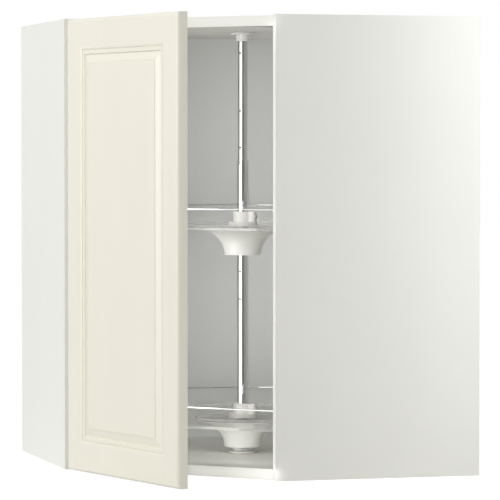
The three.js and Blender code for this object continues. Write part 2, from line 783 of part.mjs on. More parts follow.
place(leafGroup, 'door_leaf', doorLeaf(), finishes.cream);
['lower', 'upper'].forEach((name, index) => {
  const z = hingeHeights[index];
  place(leafGroup, `hinge_cup_${name}`, hingeCup(), finishes.steel).position.set(cupMiddle, 0, z);
  place(leafGroup, `cup_pin_${name}`, cupPinBar(), finishes.steel).position.set(cupPinRight, cupPinBack, z);
});

const bumperThickness = doorGap - 2 * seatGap;
const bumperHeights = { bottom: boardThickness / 2, top: doorHeight - boardThickness / 2 };
for (const [name, height] of Object.entries(bumperHeights)) {
  const bumper = place(leafGroup, `door_bumper_${name}`, alongY(turned([
    [0, 0], [bumperRadius, 0], [bumperTipRadius, bumperThickness], [0, bumperThickness],
  ], smallSides)), finishes.rubber);
  bumper.position.set(doorWidth - bumperInset, doorThickness + seatGap, height);
}

// ---------- pole and bearings ----------

// The carousel's group turns about the pole. Its -Y side faces the door.
const carousel = new THREE.Group();
carousel.name = 'carousel_group';
carousel.rotation.z = -Math.PI / 4;

// A disc with a spindle inside the pole, and two pegs in the bottom board.
function baseDisc() {
  const disc = bar(baseDiscRadius, baseDiscBottom, baseDiscTop, roundSides);
  const spindle = bar(poleBore - seatGap, baseDiscTop - overshoot, poleFoot + spindleHeight, roundSides);
  const pegs = discPegs.map(x => (
    bar(discPegRadius, boardThickness - discPegLength, baseDiscTop).translate(x, 0, 0)));
  return join(disc, spindle, ...pegs);
}

function topBearing() {
  const flangeTop = topBoardUnderside - seatGap;
  const flangeBottom = flangeTop - topFlangeThickness;
  const collarBottomHeight = flangeBottom - topCollarLength;
  const bore = upperTubeRadius + seatGap;
  const sleeve = turnedRing([
    [bore, collarBottomHeight], [topCollarRadius, collarBottomHeight], [topCollarRadius, flangeBottom],
    [topFlangeRadius, flangeBottom], [topFlangeRadius, flangeTop], [bore, flangeTop],
  ]);
  const pegs = discPegs.map(x => (
    bar(discPegRadius, flangeBottom + overshoot, topBoardUnderside + discPegLength).translate(x, 0, 0)));
  return join(sleeve, ...pegs);
}

place(carousel, 'base_disc', baseDisc(), finishes.whitePlastic);
place(carousel, 'top_bearing', topBearing(), finishes.whitePlastic);
const bearingRing = tube(bearingRingRadius, poleBore, bearingBottom, bearingTop);
place(carousel, 'bearing_ring', bearingRing, finishes.chrome);

// The lock is a pin on the upper tube, in a slot of the lower tube that turns aside at its top.
const wallCutDepth = poleBore / 2;                     // from the axis: all cuts in the walls end here
const lockSlotTop = lowerTubeTop - lockSlotBelowTop;
const lockPinRadius = lockSlotWidth / 2 - seatGap;
const lockPinX = -lockSlotLeft + lockSlotWidth / 2;
const lockPinHeight = lockSlotTop - lockSlotDrop + lockSlotWidth / 2;

// A hole in the front of either tube.
function frontHole(radius, x, z) {
  return alongY(bar(radius, -poleRadius - overshoot, -wallCutDepth)).translate(x, 0, z);
}

function lowerTube() {
  const holes = lowerTubeHoles.map(height => frontHole(poleHoleRadius, 0, poleFoot + height));
  const screwHoles = Object.values(hubBases).map(base => (
    alongX(bar(screwRadius + seatGap, wallCutDepth, poleRadius + overshoot))
      .translate(0, 0, base + collarScrewHeight)));
  const drop = box(
    -lockSlotLeft, -poleRadius - overshoot, lockSlotTop - lockSlotDrop,
    -lockSlotLeft + lockSlotWidth, -wallCutDepth, lockSlotTop,
  );
  const run = box(
    -lockSlotLeft, -poleRadius - overshoot, lockSlotTop - lockSlotWidth,
    -lockSlotLeft + lockSlotWidth + lockSlotRun, -wallCutDepth, lockSlotTop,
  );
  return cut(tube(poleRadius, poleBore, poleFoot, lowerTubeTop), ...holes, ...screwHoles, drop, run);
}

function upperTube() {
  const holes = upperTubeHoles.map(depth => frontHole(poleHoleRadius, 0, upperTubeTop - depth));
  const pinHole = frontHole(lockPinRadius + seatGap, lockPinX, lockPinHeight);
  const foot = lowerTubeTop - poleOverlap;
  return cut(tube(upperTubeRadius, upperTubeBore, foot, upperTubeTop), ...holes, pinHole);
}

// The pin's head is inside the upper tube and its end is in the slot.
function lockPin() {
  const inner = Math.sqrt(upperTubeBore ** 2 - (Math.abs(lockPinX) + lockPinHeadRadius) ** 2) - seatGap;
  const headEnd = inner - lockPinHeadLength;
  return alongY(turned([
    [0, -poleRadius], [lockPinRadius, -poleRadius], [lockPinRadius, -inner], [lockPinHeadRadius, -inner],
    [lockPinHeadRadius, -headEnd], [0, -headEnd],
  ], smallSides)).translate(lockPinX, 0, lockPinHeight);
}

place(carousel, 'pole_lower_tube', lowerTube(), finishes.chrome);
place(carousel, 'pole_upper_tube', upperTube(), finishes.chrome);
place(carousel, 'lock_pin', lockPin(), finishes.steel);

// ---------- shelves ----------

// The point of a tray's outline, or of one inset from it, where the outline faces the given angle. The
// outline is a circle with a straight front and two rounded corners, which share their middles with
// those of every inset.
const cornerY = -(trayFlatDistance - trayCornerRadius);
const cornerX = Math.sqrt((trayRadius - trayCornerRadius) ** 2 - cornerY ** 2);
const arcStart = Math.atan2(cornerY, cornerX);
const arcEnd = Math.PI - arcStart;

function trayPoint(facing, inset, corner) {
  const radius = corner ? trayCornerRadius - inset : trayRadius - inset;
  const x = corner * cornerX + radius * Math.cos(facing);
  const y = (corner ? cornerY : 0) + radius * Math.sin(facing);
  return { x, y, facing };
}

// Points anticlockwise from the right end of the straight front.
function trayOutline(inset) {
  const points = [];
  const front = -Math.PI / 2;
  for (let step = 0; step < trayCornerSteps; step++) {
    const facing = front + (arcStart - front) * step / trayCornerSteps;
    points.push(trayPoint(facing, inset, 1));
  }
  for (let step = 0; step <= backArcSteps; step++) {
    points.push(trayPoint(arcStart + (arcEnd - arcStart) * step / backArcSteps, inset, 0));
  }
  for (let step = 1; step <= trayCornerSteps; step++) {
    const facing = arcEnd + (front + 2 * Math.PI - arcEnd) * step / trayCornerSteps;
    points.push(trayPoint(facing, inset, -1));
  }
  return points;
}

const trayPlan = inset => trayOutline(inset).map(({ x, y }) => [x, y]);

// Where the wire's posts stand in the tray.
const wirePosts = wirePostAngles.map(degrees => {
  const facing = THREE.MathUtils.degToRad(90 - degrees);
  const onArc = facing >= arcStart && facing <= arcEnd;
  return trayPoint(facing, wireInset, onArc ? 0 : Math.sign(degrees));
});

// The trumpet's curve is a quarter of an ellipse that ends level, below its rim.
function trumpet(offset, fromHeight, toHeight) {
  const across = hubRimRadius - hubFootRadius + offset;
  const up = hubHeight - hubRimThickness + offset;
  const start = Math.asin(fromHeight / up);
  const end = Math.asin(toHeight / up);
  return Array.from({ length: trumpetSteps + 1 }, (_, step) => {
    const angle = start + (end - start) * step / trumpetSteps;
    return [hubRimRadius - across * Math.cos(angle), up * Math.sin(angle)];
  });
}

function hubCone() {
  const sleeve = hubBore + hubSleeveWall;
  return turnedRing([
    [hubBore, 0], ...trumpet(0, 0, hubHeight - hubRimThickness), [hubRimRadius, hubHeight],
    ...trumpet(hubWall, hubWall, hubHeight).reverse(), [sleeve, hubWall], [sleeve, hubHeight],
    [hubBore, hubHeight],
  ]);
}

function tray() {
  const rimTop = trayFloor + trayRimHeight;
  const slab = cut(
    prism(trayPlan(0), trayBottom, rimTop),
    prism(trayPlan(trayRimWidth), trayFloor, rimTop + overshoot),
    bar(hubBore, trayBottom - overshoot, rimTop + overshoot, roundSides),
  );
  const ring = tube(
    trayRingInner + trayRingWidth, trayRingInner, trayFloor - overshoot, trayFloor + trayRingHeight);
  const sockets = wirePosts.map(({ x, y }) => (
    bar(socketRadius, trayFloor - overshoot, trayFloor + socketHeight).translate(x, y, 0)));
  const holes = wirePosts.map(({ x, y }) => (
    bar(wireRadius + seatGap, trayFloor + seatGap, trayFloor + socketHeight + overshoot, wireSides)
      .translate(x, y, 0)));
  return cut(join(slab, ring, ...sockets), ...holes);
}

// A closed loop of wire over the tray's edge, on posts that stand in the tray's sockets.
function wireRim() {
  const height = trayFloor + wireAboveTray;
  const loops = trayOutline(wireInset).map(({ x, y, facing }) => (
    Array.from({ length: wireSides }, (_, side) => {
      const angle = (side / wireSides) * 2 * Math.PI;
      const out = wireRadius * Math.sin(angle);
      return [
        x + out * Math.cos(facing), y + out * Math.sin(facing), height + wireRadius * Math.cos(angle),
      ];
    })));
  const posts = wirePosts.map(({ x, y }) => (
    bar(wireRadius, trayFloor + 2 * seatGap, height, wireSides).translate(x, y, 0)));
  return join(skin(loops, true), ...posts);
}

// A flanged sleeve on the tray, with a lug for the screw that locks the shelf to the pole.
function hubCollar() {
  const flangeTop = collarBottom + collarFlangeThickness;
  const top = flangeTop + collarLength;
  const sleeve = turnedRing([
    [hubBore, collarBottom], [collarFlangeRadius, collarBottom], [collarFlangeRadius, flangeTop],
    [collarRadius, flangeTop], [collarRadius, top], [hubBore, top],
  ]);
  const lug = box(hubBore + overshoot, -lugWidth / 2, flangeTop - overshoot, lugReach, lugWidth / 2, top);
  const bore = bar(hubBore, collarBottom, top + overshoot, roundSides);
  const screwHole = alongX(bar(screwRadius + seatGap, 0, lugReach + overshoot))
    .translate(0, 0, collarScrewHeight);
  return cut(join(sleeve, lug), bore, screwHole);
}

const collarScrewLength = lugReach + seatGap - (poleRadius - poleWall / 2);

for (const [name, base] of Object.entries(hubBases)) {
  const shelf = new THREE.Group();
  shelf.position.z = base;
  carousel.add(shelf);
  place(shelf, `hub_cone_${name}`, hubCone(), finishes.whitePlastic);
  place(shelf, `tray_${name}`, tray(), finishes.clearPlastic);
  place(shelf, `wire_rim_${name}`, wireRim(), finishes.chrome);
  place(shelf, `hub_collar_${name}`, hubCollar(), finishes.whitePlastic);
  const collarScrew = place(shelf, `hub_screw_${name}`, alongX(screw(collarScrewLength)), finishes.steel);
  collarScrew.position.set(lugReach + seatGap, 0, collarScrewHeight);
}

// ---------- the whole cabinet ----------

const whole = new THREE.Group();
whole.add(cabinet, carousel);

export default whole;
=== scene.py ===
"""A corner wall cabinet with a cream door and a turning pole with two clear trays, in its finishes.

Lengths are in metres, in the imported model's own frame: +Z is up, the pole stands on the origin, +Y is
towards the rear wall and +X towards the side wall.
"""

import math

import bmesh
import bpy
from mathutils import Matrix, Vector


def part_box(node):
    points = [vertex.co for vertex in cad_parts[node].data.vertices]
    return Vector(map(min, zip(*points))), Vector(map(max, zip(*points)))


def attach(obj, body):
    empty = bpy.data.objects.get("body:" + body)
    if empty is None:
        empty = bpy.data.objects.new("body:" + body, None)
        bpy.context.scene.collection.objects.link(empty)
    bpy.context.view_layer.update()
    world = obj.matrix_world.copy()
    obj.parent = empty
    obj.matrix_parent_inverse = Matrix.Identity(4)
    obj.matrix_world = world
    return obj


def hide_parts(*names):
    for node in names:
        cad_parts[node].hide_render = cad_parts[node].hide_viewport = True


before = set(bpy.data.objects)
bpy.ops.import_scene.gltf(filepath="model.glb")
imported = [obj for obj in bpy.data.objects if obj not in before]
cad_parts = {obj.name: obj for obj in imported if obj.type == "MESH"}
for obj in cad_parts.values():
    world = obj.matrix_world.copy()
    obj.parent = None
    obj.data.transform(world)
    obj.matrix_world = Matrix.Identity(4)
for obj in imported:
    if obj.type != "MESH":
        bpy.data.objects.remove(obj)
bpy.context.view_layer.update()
MM = 0.001

# ---------- the cabinet's measures, as in its solids ----------

BOARD = 18 * MM
FRONT_LEG = 302 * MM               # from the plan's cut-off corner to a side panel's front edge
SEAT_GAP = 0.3 * MM                # between pieces that seat on each other

DOOR_WIDTH = FRONT_LEG * math.sqrt(2) - 30 * MM
DOOR_HEIGHT = 797 * MM
DOOR_THICKNESS = 19 * MM
DOOR_TURN = math.radians(-45 - 30)  # along the diagonal front, and open by 30 degrees
DOOR_PIN = Vector((-0.324178, -0.054121, 0))
CUP_PIN = Vector((10.9 * MM, 10.2 * MM, 0))
HINGE_HEIGHTS = (100 * MM, DOOR_HEIGHT - 100 * MM)
CUP_MIDDLE = 22.5 * MM             # from the door's hinged edge
CUP_PEG_REACH = 24 * MM            # from the cup's middle, up and down, to its pegs
SCREW_HEAD = 1.8 * MM              # height of a small screw's head

POLE_RADIUS = 10.2 * MM
POLE_WALL = 1.2 * MM
UPPER_RADIUS = 8.6 * MM
POLE_FOOT = 28.5 * MM
LOWER_TOP = 548.5 * MM
UPPER_TOP = 777.8 * MM
POLE_OVERLAP = 94 * MM             # of the inner tube in the outer one
POLE_HOLE = 1.8 * MM               # radius
POLE_CUT = (-12 * MM, -4.5 * MM)   # how far the holes' tools reach, from the front to the inside
SHELF_SPACING = 348 * MM
HUB_BORE = 10.5 * MM

TRAY_RADIUS = 290 * MM
TRAY_FLAT = 218 * MM
TRAY_CORNER = 10 * MM
TRAY_BOTTOM = POLE_FOOT + 49.5 * MM
TRAY_FLOOR = TRAY_BOTTOM + 3 * MM
WIRE_INSET = 4 * MM
WIRE_RADIUS = 1.5 * MM
WIRE_HEIGHT = TRAY_FLOOR + 33.8 * MM
WIRE_POST_ANGLES = (-139, -100, -58, 0, 58, 100, 139)

# Where each group of pieces stands: the door's lower left front corner, and the pole.
door_place = (
    Matrix.Translation(DOOR_PIN) @ Matrix.Rotation(DOOR_TURN, 4, "Z") @ Matrix.Translation(-CUP_PIN)
)
carousel_place = Matrix.Rotation(math.radians(-45), 4, "Z")


# ---------- node trees ----------

def shade(red, green, blue):
    """A colour written as on a screen, from 0 to 255, as a shader takes it."""
    def linear(part):
        part /= 255
        return part / 12.92 if part <= 0.04045 else ((part + 0.055) / 1.055) ** 2.4
    return (linear(red), linear(green), linear(blue), 1)


class Value:
    """A socket's value. Maths on it adds Math nodes to its tree."""

    def __init__(self, tree, socket):
        self.tree = tree
        self.socket = socket

    def maths(self, operation, *values):
        """The value after a Math node."""
        operands = dict(enumerate(values))
        return self.tree.add("ShaderNodeMath", {"operation": operation}, operands)

    def __add__(self, other):
        return self.maths("ADD", self, other)

    def __sub__(self, other):
        return self.maths("SUBTRACT", self, other)

    def __rsub__(self, other):
        return self.maths("SUBTRACT", other, self)

    def __mul__(self, other):
        return self.maths("MULTIPLY", self, other)

    __radd__ = __add__
    __rmul__ = __mul__


class Tree:
    """The nodes of a material or of the world."""

    def __init__(self, owner):
        owner.use_nodes = True
        self.nodes = owner.node_tree.nodes
        self.links = owner.node_tree.links
        self.nodes.clear()

    def add(self, kind, settings=None, sockets=None, output=0):
        """Adds a node with its settings, then the values or links of its sockets."""
        node = self.nodes.new(kind)
        for name, value in (settings or {}).items():
            setattr(node, name, value)
        for name, value in (sockets or {}).items():
            if isinstance(value, Value):
                self.links.new(value.socket, node.inputs[name])
            else:
                node.inputs[name].default_value = value
        return Value(self, node.outputs[output]) if node.outputs else None

    def noise(self, per_metre, detail=2.0, stretch=(1, 1, 1)):
        """Noise on the piece's own coordinates, from 0 to 1."""
        place = self.add("ShaderNodeTexCoord", output="Object")
        mapped = self.add("ShaderNodeMapping", None, {"Vector": place, "Scale": stretch})
        return self.add(
            "ShaderNodeTexNoise", None, {"Vector": mapped, "Scale": per_metre, "Detail": detail})

    def mix(self, factor, first, second):
        """A colour between two. The Mix node's colours are its sockets 6 and 7 and its output 2."""
        settings = {"data_type": "RGBA"}
        return self.add("ShaderNodeMix", settings, {0: factor, 6: first, 7: second}, 2)

    def bump(self, height, distance, strength=1.0):
        """A normal that follows a height. The distance is in metres."""
        sockets = {"Height": height, "Distance": distance, "Strength": strength}
        return self.add("ShaderNodeBump", None, sockets)

    def seen_directly(self):
        """1 where the camera, metal or clear plastic sees a thing, and 0 where it only gives light."""
        camera, glossy, passed = (
            self.add("ShaderNodeLightPath", output=ray)
            for ray in ("Is Camera Ray", "Is Glossy Ray", "Is Transmission Ray")
        )
        return camera.maths("MAXIMUM", camera, glossy.maths("MAXIMUM", glossy, passed))

    def surface(self, shader):
        self.add("ShaderNodeOutputMaterial", None, {"Surface": shader})


def finish(name, **sockets):
    """A material with one Principled shader. A socket's value may be a function of its tree."""
    material = bpy.data.materials.new(name)
    tree = Tree(material)
    values = {
        key.replace("_", " "): made(tree) if callable(made) else made for key, made in sockets.items()
    }
    tree.surface(tree.add("ShaderNodeBsdfPrincipled", None, values))
    return material


# ---------- finishes ----------

def board_color(tree):
    """White with a trace of unevenness."""
    return tree.mix(tree.noise(6, 3), shade(238, 238, 232), shade(242, 242, 236))


def board_skin(tree):
    """The fine pearl of a melamine face."""
    return tree.bump(tree.noise(1400, 2), 0.00004, 0.5)


white_board = finish(
    "white melamine board",
    Base_Color=board_color,
    Roughness=lambda tree: tree.noise(900, 2) * 0.08 + 0.36,
    Normal=board_skin,
)

back_board = finish(
    "lacquered back board",
    Base_Color=lambda tree: tree.mix(tree.noise(9, 3), shade(227, 227, 227), shade(233, 233, 233)),
    Roughness=lambda tree: tree.noise(500, 3) * 0.12 + 0.5,
    Normal=lambda tree: tree.bump(tree.noise(700, 3, (1, 1, 0.35)), 0.00006, 0.6),
)


def lacquer_color(tree):
    """Cream lacquer, a little uneven over the leaf."""
    return tree.mix(tree.noise(14, 3, (1, 1, 0.25)), shade(236, 233, 218), shade(241, 238, 224))


cream_lacquer = finish(
    "cream door lacquer",
    Base_Color=lacquer_color,
    Roughness=lambda tree: tree.noise(300, 2) * 0.08 + 0.3,
    Coat_Weight=0.15,
    Coat_Roughness=0.2,
    Normal=lambda tree: tree.bump(tree.noise(420, 2), 0.00005, 0.5),
)

chrome = finish(
    "polished chrome",
    Base_Color=shade(226, 228, 230),
    Metallic=1.0,
    Roughness=lambda tree: tree.noise(60, 3) * 0.015 + 0.045,
)

nickel = finish(
    "nickel-plated steel",
    Base_Color=lambda tree: tree.mix(tree.noise(60, 3), shade(205, 206, 206), shade(219, 220, 219)),
    Metallic=1.0,
    Roughness=lambda tree: tree.noise(900, 2, (1, 1, 0.1)) * 0.16 + 0.2,
)

zinc = finish(
    "dull zinc",
    Base_Color=lambda tree: tree.mix(tree.noise(180, 4), shade(168, 170, 172), shade(196, 198, 199)),
    Metallic=1.0,
    Roughness=lambda tree: tree.noise(500, 3) * 0.2 + 0.38,
    Normal=lambda tree: tree.bump(tree.noise(1500, 2), 0.00005, 0.5),
)

white_plastic = finish(
    "white moulded plastic",
    Base_Color=lambda tree: tree.mix(tree.noise(25, 2), shade(242, 241, 237), shade(248, 247, 243)),
    Roughness=lambda tree: tree.noise(700, 2) * 0.08 + 0.28,
    Normal=lambda tree: tree.bump(tree.noise(1100, 2), 0.00003, 0.5),
)

soft_stop = finish(
    "clear soft stop",
    Base_Color=lambda tree: tree.mix(tree.noise(300, 2), shade(214, 216, 210), shade(226, 227, 222)),
    Roughness=lambda tree: tree.noise(900, 2) * 0.15 + 0.4,
    Transmission_Weight=0.3,
)


def clear_tray():
    """Clear plastic: brighter where it is seen along its surface, with a painted highlight that whitens
    its upright faces.
    """
    material = bpy.data.materials.new("clear tray plastic")
    tree = Tree(material)
    edge = tree.add("ShaderNodeLayerWeight", None, {"Blend": 0.2}, "Facing")
    milk = tree.noise(40, 3) * 0.02 + 0.05
    through = tree.add("ShaderNodeBsdfTransparent", None, {"Color": shade(252, 252, 251)})
    skin = tree.add("ShaderNodeBsdfPrincipled", None, {
        "Base Color": shade(246, 246, 244),
        "Roughness": tree.noise(200, 2) * 0.04 + 0.04,
        "Normal": tree.bump(tree.noise(25, 2), 0.0001, 0.2),
    })
    facing = tree.add("ShaderNodeNewGeometry", output="Normal")
    level = tree.add("ShaderNodeSeparateXYZ", None, {"Vector": facing}, "Z")
    # Upright faces of the rim, ring and sockets are made whiter: a painted highlight for the bright lines
    # along the tray's edges.
    upright = 1 - level.maths("ABSOLUTE", level)
    haze_and_painted_highlight = edge * 0.3 + milk + upright * 0.28
    tree.surface(tree.add("ShaderNodeMixShader", None, {0: haze_and_painted_highlight, 1: through, 2: skin}))
    return material


clear_plastic = clear_tray()


# ---------- modelling ----------

def only(piece):
    """Makes a piece the one that is selected and active."""
    bpy.ops.object.select_all(action="DESELECT")
    piece.select_set(True)
    bpy.context.view_layer.objects.active = piece


def edit(piece, kind="FACE"):
    """Opens a piece in edit mode with all of it selected."""
    only(piece)
    bpy.ops.object.mode_set(mode="EDIT")
    bpy.ops.mesh.select_mode(type=kind)
    bpy.ops.mesh.select_all(action="SELECT")


def leave_edit():
    bpy.ops.object.mode_set(mode="OBJECT")


def pick(test):
    """Selects the faces, edges or corners that pass the test, by the selection mode in use."""
    shape = bmesh.from_edit_mesh(bpy.context.edit_object.data)
    by_corner, by_edge, _ = bpy.context.tool_settings.mesh_select_mode
    items = shape.verts if by_corner else shape.edges if by_edge else shape.faces
    bpy.ops.mesh.select_all(action="DESELECT")
    for item in items:
        item.select_set(bool(test(item)))
    bmesh.update_edit_mesh(bpy.context.edit_object.data)


def modified(piece, kind, **settings):
    """Adds a modifier and applies it."""
    only(piece)
    modifier = piece.modifiers.new(kind.lower(), kind)
    for name, value in settings.items():
        setattr(modifier, name, value)
    bpy.ops.object.modifier_apply(modifier=modifier.name)


def combined(piece, tool, operation):
    """Cuts a tool from a piece or adds it, and removes the tool."""
    modified(piece, "BOOLEAN", object=tool, operation=operation, solver="EXACT")
    bpy.data.objects.remove(tool, do_unlink=True)


def cut(piece, *tools):
    """Cuts tools from a piece, one after another."""
    for tool in tools:
        combined(piece, tool, "DIFFERENCE")
    return piece


def joined(pieces):
    """Puts pieces into one object. They stay shells of their own."""
    only(pieces[0])
    for piece in pieces:
        piece.select_set(True)
    bpy.ops.object.join()
    return bpy.context.object


def placed(piece, matrix):
    """Moves a piece by a matrix and leaves its object at the origin."""
    only(piece)
    piece.matrix_world = matrix @ piece.matrix_world
    bpy.ops.object.transform_apply(location=True, rotation=True, scale=True)
    return piece


def block(low, high):
    """A box between two corners, to be shaped further or to cut with."""
    low, high = Vector(low), Vector(high)
    bpy.ops.mesh.primitive_cube_add(size=1, location=(low + high) / 2, scale=high - low)
    bpy.ops.object.transform_apply(location=True, rotation=True, scale=True)
    return bpy.context.object


def rod(radius, low, high, at=(0, 0), sides=32):
    """An upright cylinder between two heights, to be shaped further or to cut with."""
    bpy.ops.mesh.primitive_cylinder_add(
        vertices=sides, radius=radius, depth=high - low, location=(*at, (low + high) / 2))
    bpy.ops.object.transform_apply(location=True, rotation=True, scale=True)
    return bpy.context.object


def turned(profile, sides=96):
    """A piece turned round Z: a circle that is extruded and resized from one (radius, height) to the next.

    A profile that ends where it started makes a ring, and any other is closed by flat ends.
    """
    ring = profile[0] == profile[-1]
    radius, height = profile[0]
    bpy.ops.mesh.primitive_circle_add(
        vertices=sides, radius=radius, location=(0, 0, height), fill_type="NOTHING" if ring else "NGON")
    piece = bpy.context.object
    edit(piece, "EDGE")
    for (before, low), (after, high) in zip(profile, profile[1:]):
        bpy.ops.mesh.extrude_edges_move(TRANSFORM_OT_translate={"value": (0, 0, high - low)})
        scale = after / before
        bpy.ops.transform.resize(value=(scale, scale, 1), center_override=(0, 0, high))
    if not ring:
        bpy.ops.mesh.edge_face_add()
    bpy.ops.mesh.select_all(action="SELECT")
    bpy.ops.mesh.remove_doubles(threshold=1e-6)
    bpy.ops.mesh.normals_make_consistent(inside=False)
    leave_edit()
    bpy.ops.object.transform_apply(location=True, rotation=True, scale=True)
    return piece


def along_x(piece):
    """Lays an upright piece down, so that its top points along +X."""
    return placed(piece, Matrix.Rotation(math.radians(90), 4, "Y"))


def along_y(piece):
    """Lays an upright piece down, so that its top points along +Y."""
    return placed(piece, Matrix.Rotation(math.radians(-90), 4, "X"))


def merged_copy(node):
    """A copy of a CAD node with its corners merged and its flat faces whole."""
    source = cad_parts[node]
    mesh = source.data.copy()
    piece = bpy.data.objects.new(node + "_copy", mesh)
    bpy.context.scene.collection.objects.link(piece)
    edit(piece)
    bpy.ops.mesh.remove_doubles(threshold=1e-6)
    bpy.ops.mesh.dissolve_limited(angle_limit=math.radians(1))
    leave_edit()
    return piece


def twin(piece, matrix):
    """A copy of a piece with its own mesh, moved by a matrix."""
    copy = piece.copy()
    copy.data = piece.data.copy()
    bpy.context.scene.collection.objects.link(copy)
    return placed(copy, matrix)


def dressed(piece, name, body, nodes, material, edge=0.4 * MM, rounds=2, crease=35):
    """Breaks a piece's edges, shades it, gives it its finish and lets it stand for its CAD nodes."""
    if edge:
        modified(
            piece, "BEVEL", width=edge, segments=rounds, limit_method="ANGLE",
            angle_limit=math.radians(crease), use_clamp_overlap=True, harden_normals=False,
        )
    only(piece)
    bpy.ops.object.shade_smooth_by_angle(angle=math.radians(crease))
    modified(piece, "WEIGHTED_NORMAL", keep_sharp=True)
    piece.name = name
    piece.data.name = name
    piece.data.materials.clear()
    piece.data.materials.append(material)
    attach(piece, body)
    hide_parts(*nodes)


# ---------- carcass ----------

BOARD_PIECES = {
    "side_panel_left": "left_side_board",
    "side_panel_right": "right_side_board",
    "top_board": "cabinet_top",
    "bottom_board": "cabinet_bottom",
    "corner_post": "grooved_corner_strip",
}
for node, name in BOARD_PIECES.items():
    dressed(merged_copy(node), name, "cabinet", [node], white_board, edge=0.7 * MM)

for node, name in {"back_panel_rear": "rear_back_sheet", "back_panel_side": "side_back_sheet"}.items():
    dressed(merged_copy(node), name, "cabinet", [node], back_board, edge=0.3 * MM)

for side in ("left", "right"):
    dressed(
        merged_copy(f"hanger_{side}"), f"hanging_bracket_{side}", "cabinet", [f"hanger_{side}"],
        white_plastic, edge=0.8 * MM, rounds=3)


# ---------- door ----------

def moulding_steps():
    """The leaf's moulding as (across, deeper) steps in millimetres, from its rounded edge to its field."""
    frame_flat = [(42, 0)]
    roll = [(1.3, 1.6 * ((i + 1) ** 2 - i ** 2) / 25) for i in range(5)]
    outer_groove = [(0.3, 1.5), (1.2, 0), (0.3, -1.1)]
    flat_bead = [(6.2, 0.2), (0.8, 2.8)]
    panel_bevel = [(14.3, -4.4)]
    field_groove = [(0.2, 0.6), (1.2, 0), (0.3, -1.2)]
    return [*frame_flat, *roll, *outer_groove, *flat_bead, *panel_bevel, *field_groove]


def raised_panel_leaf():
    """One milled leaf: rounded edges, a flat frame, a moulding and a raised field."""
    leaf = block((0, 0, 0), (DOOR_WIDTH, DOOR_THICKNESS, DOOR_HEIGHT))
    edit(leaf, "EDGE")
    pick(lambda edge: all(corner.co.y < 1e-6 for corner in edge.verts))
    bpy.ops.mesh.bevel(offset=6 * MM, segments=6, affect="EDGES")
    pick(lambda edge: all(corner.co.y > DOOR_THICKNESS - 1e-6 for corner in edge.verts))
    bpy.ops.mesh.bevel(offset=0.8 * MM, segments=2, affect="EDGES")
    bpy.ops.mesh.select_mode(type="FACE")
    pick(lambda face: face.normal.y < -0.999)
    for across, deeper in moulding_steps():
        bpy.ops.mesh.inset(thickness=across * MM, depth=-deeper * MM, use_even_offset=True)
    leave_edit()
    bore_radius, bore_floor = 17.8 * MM, 5.1 * MM
    peg_hole_radius, peg_hole_floor = 3.9 * MM, 8.7 * MM
    past_back = 30 * MM
    for height in HINGE_HEIGHTS:
        bore = along_y(rod(bore_radius, bore_floor, past_back, sides=64))
        pegs = [
            along_y(rod(peg_hole_radius, peg_hole_floor, past_back, at=(0, side * CUP_PEG_REACH)))
            for side in (-1, 1)
        ]
        for tool in (bore, *pegs):
            cut(leaf, placed(tool, Matrix.Translation((CUP_MIDDLE, 0, height))))
    return placed(leaf, door_place)


dressed(
    raised_panel_leaf(), "raised_panel_door", "door", ["door_leaf"], cream_lacquer,
    edge=0, crease=24)


# ---------- hinges ----------

def cross_recess(reach, half_width, low, high):
    """Two blocks that cut the recess for a cross-point driver from above."""
    return (
        block((-reach, -half_width, low), (reach, half_width, high)),
        block((-half_width, -reach, low), (half_width, reach, high)),
    )


def cross_screw(length):
    """A pan-head screw. Its head bears on the plane z = 0 and its shank runs down from it."""
    shank, head, top = 2 * MM, 4 * MM, SCREW_HEAD
    screw = turned([
        (0.6 * MM, -length), (shank, -length + 2 * MM), (shank, 0), (head, 0), (head, 0.9 * MM),
        (3.4 * MM, 1.5 * MM), (2.2 * MM, top),
    ], 40)
    return cut(screw, *cross_recess(2 * MM, 0.4 * MM, 0.8 * MM, top + 1 * MM))


def pressed_cup():
    """The bowl let into the leaf, its flange on the leaf's back and two pegs with cross recesses."""
    flange = DOOR_THICKNESS + SEAT_GAP
    bottom, top = flange - 13.9 * MM, flange + 1.2 * MM
    outer, inner = 17.5 * MM, 15.7 * MM
    half_width, half_height = 12 * MM, 31 * MM
    past = 1 * MM
    bowl = along_y(turned([
        (outer - 1.4 * MM, bottom), (outer, bottom + 1.4 * MM), (outer, top), (inner, top),
        (inner, bottom + 3.6 * MM), (inner - 1.8 * MM, bottom + 1.8 * MM),
    ], 64))
    sheet = block((-half_width, flange, -half_height), (half_width, top, half_height))
    edit(sheet, "EDGE")
    pick(lambda edge: abs(edge.verts[0].co.y - edge.verts[1].co.y) > 1 * MM)
    bpy.ops.mesh.bevel(offset=7 * MM, segments=8, affect="EDGES")
    leave_edit()
    cut(sheet, along_y(rod(inner, flange - past, top + past, sides=64)))
    combined(bowl, sheet, "UNION")
    for side in (-1, 1):
        at = Matrix.Translation((0, 0, side * CUP_PEG_REACH))
        combined(bowl, placed(along_y(rod(3.6 * MM, 9 * MM, flange + 0.6 * MM)), at), "UNION")
        recess = cross_recess(2.2 * MM, 0.45 * MM, flange + 0.4 * MM, top + past)
        cut(bowl, *(placed(along_y(arm), at) for arm in recess))
    hole_radius, hole_end = 1.5 * MM, 18 * MM
    pin_hole = rod(hole_radius, -hole_end, hole_end, at=(CUP_PIN.x - CUP_MIDDLE, CUP_PIN.y))
    return cut(bowl, pin_hole)


def middle_of(low, high):
    return (Vector(low) + Vector(high)) / 2


def plain_pin(node):
    """A pin with chamfered ends, where its CAD node is."""
    low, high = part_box(node)
    at = middle_of(low, high)
    radius, chamfer = 1.2 * MM, 0.3 * MM
    pin = turned([
        (radius - chamfer, low[2]), (radius, low[2] + chamfer), (radius, high[2] - chamfer),
        (radius - chamfer, high[2]),
    ], 32)
    return placed(pin, Matrix.Translation((at.x, at.y, 0)))


